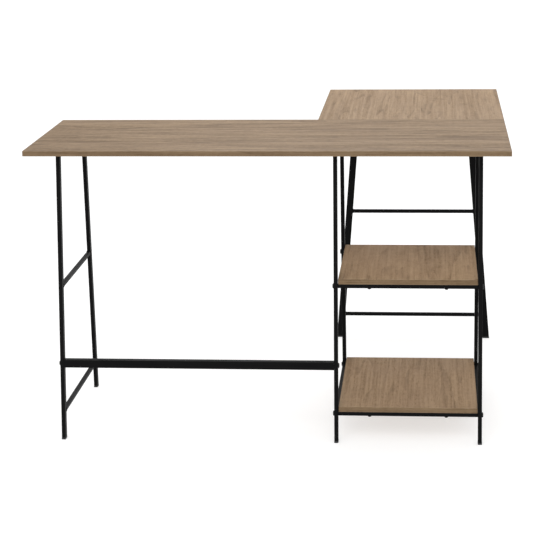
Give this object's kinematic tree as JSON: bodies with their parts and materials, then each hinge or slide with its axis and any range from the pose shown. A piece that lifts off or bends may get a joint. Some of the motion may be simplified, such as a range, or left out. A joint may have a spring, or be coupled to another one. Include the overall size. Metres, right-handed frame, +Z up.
{
  "type": "corner desk",
  "caption": "L-shaped corner desk: two laminate tops butted at a right angle on splayed flat-tube steel end frames, with an open two-tier shelf unit and a low stretcher.",
  "frame": {"origin": "on the floor, under the middle of the rectangle that the desk stands in", "axes": "+X along the main top towards the end that carries the return, +Y from the main top's outer edge towards the return's far end, +Z up"},
  "size_m": [1.2, 1.09, 0.75],
  "materials": {
    "oak_laminate": "matt greyed-oak laminate with a fine straight grain",
    "edge_band": "matt edge strip in the same decor",
    "powder_coated_steel": "satin black powder coat",
    "black_plastic": "matt moulded plastic",
    "blackened_steel": "black finish on steel, slightly glossy",
    "zinc_plated_steel": "bright zinc plate"
  },
  "bodies": {
    "root": {"left_frame_inner_foot": "black_plastic", "left_frame_inner_leg": "powder_coated_steel", "left_frame_lower_crossbar": "powder_coated_steel", "left_frame_outer_foot": "black_plastic", "left_frame_outer_leg": "powder_coated_steel", "left_frame_top_bar": "powder_coated_steel", "left_frame_top_screws": "blackened_steel", "left_frame_upper_crossbar": "powder_coated_steel", "lower_shelf": "oak_laminate", "lower_shelf_edge_bands": "edge_band", "lower_shelf_inner_rail": "powder_coated_steel", "lower_shelf_outer_rail": "powder_coated_steel", "lower_shelf_rail_bolts": "blackened_steel", "lower_shelf_rail_inserts": "zinc_plated_steel", "lower_shelf_screws": "blackened_steel", "main_top": "oak_laminate", "main_top_edge_bands": "edge_band", "return_frame_inner_foot": "black_plastic", "return_frame_inner_leg": "powder_coated_steel", "return_frame_lower_crossbar": "powder_coated_steel", "return_frame_outer_foot": "black_plastic", "return_frame_outer_leg": "powder_coated_steel", "return_frame_top_bar": "powder_coated_steel", "return_frame_top_screws": "blackened_steel", "return_frame_upper_crossbar": "powder_coated_steel", "return_top": "oak_laminate", "return_top_edge_bands": "edge_band", "seam_plate_inner": "blackened_steel", "seam_plate_middle": "blackened_steel", "seam_plate_outer": "blackened_steel", "seam_plate_screws": "blackened_steel", "shelf_left_frame_inner_foot": "black_plastic", "shelf_left_frame_inner_leg": "powder_coated_steel", "shelf_left_frame_lower_crossbar": "powder_coated_steel", "shelf_left_frame_outer_foot": "black_plastic", "shelf_left_frame_outer_leg": "powder_coated_steel", "shelf_left_frame_top_bar": "powder_coated_steel", "shelf_left_frame_top_screws": "blackened_steel", "shelf_right_frame_inner_foot": "black_plastic", "shelf_right_frame_inner_leg": "powder_coated_steel", "shelf_right_frame_lower_crossbar": "powder_coated_steel", "shelf_right_frame_outer_foot": "black_plastic", "shelf_right_frame_outer_leg": "powder_coated_steel", "shelf_right_frame_top_bar": "powder_coated_steel", "shelf_right_frame_top_screws": "blackened_steel", "stretcher": "powder_coated_steel", "stretcher_bolts": "blackened_steel", "stretcher_threaded_inserts": "zinc_plated_steel", "top_bar_end_plugs": "black_plastic", "upper_shelf": "oak_laminate", "upper_shelf_edge_bands": "edge_band", "upper_shelf_inner_rail": "powder_coated_steel", "upper_shelf_outer_rail": "powder_coated_steel", "upper_shelf_rail_bolts": "blackened_steel", "upper_shelf_rail_inserts": "zinc_plated_steel", "upper_shelf_screws": "blackened_steel"}
  },
  "joints": []
}
